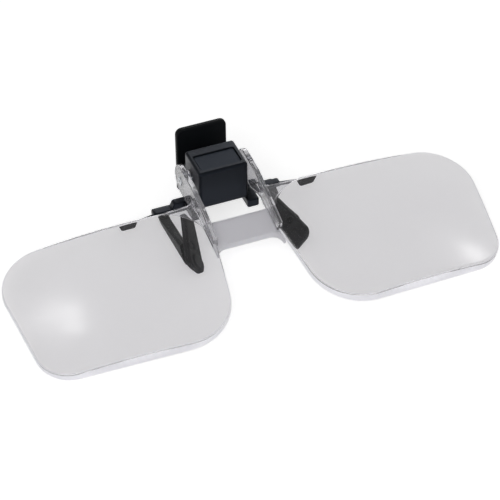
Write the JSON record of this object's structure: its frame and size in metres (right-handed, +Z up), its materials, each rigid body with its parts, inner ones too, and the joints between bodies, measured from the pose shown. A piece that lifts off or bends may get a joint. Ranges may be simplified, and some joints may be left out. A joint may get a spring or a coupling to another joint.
{
  "type": "binocular magnifier",
  "caption": "Clip-on flip-up binocular magnifier: a clear moulding of two lenses on a flip hinge, on a sprung black spectacle clip with rubber tips and pads.",
  "frame": {"origin": "The middle of the object's footprint on the table it lies on, which is the bottom centre of its box.", "axes": "+X runs from the left lens to the right lens, +Y from the lenses towards the thumb lever, +Z up from the table. Worn, +Z faces away from the wearer and -Y points down."},
  "size_m": [0.1194, 0.0565, 0.0208],
  "materials": {
    "clear_acrylic": "clear moulded acrylic with polished lens faces",
    "black_plastic": "fine satin moulded black plastic",
    "black_rubber": "soft matt black rubber",
    "steel": "plain drawn steel",
    "pale_plastic": "natural acetal, hidden inside the block"
  },
  "bodies": {
    "clip": {"hinge_block": "black_plastic", "cover_panel": "black_plastic", "leaf_spring": "steel", "front_bar": "black_plastic", "base_screws": "steel", "prong_tip_left": "black_rubber", "prong_tip_right": "black_rubber", "jaw_pin": "steel", "jaw_spring": "steel"},
    "lenses": {"lens_moulding": "clear_acrylic", "flip_axle": "steel", "friction_barrel": "pale_plastic"},
    "jaw": {"rear_jaw": "black_plastic", "pad_left": "black_rubber", "pad_right": "black_rubber"}
  },
  "joints": [
    {"name": "lens_flip", "type": "hinge", "parent": "clip", "child": "lenses", "pos_m": [0, 0.0189, 0.0127], "axis": [-1, 0, 0], "range_deg": [0, 100]},
    {"name": "jaw_open", "type": "hinge", "parent": "clip", "child": "jaw", "pos_m": [0, 0.0248, 0.0102], "axis": [1, 0, 0], "range_deg": [0, 16], "stiffness_Nm_per_rad": 0.06, "springref_deg": -28.65, "deforming": ["jaw_spring"]}
  ]
}
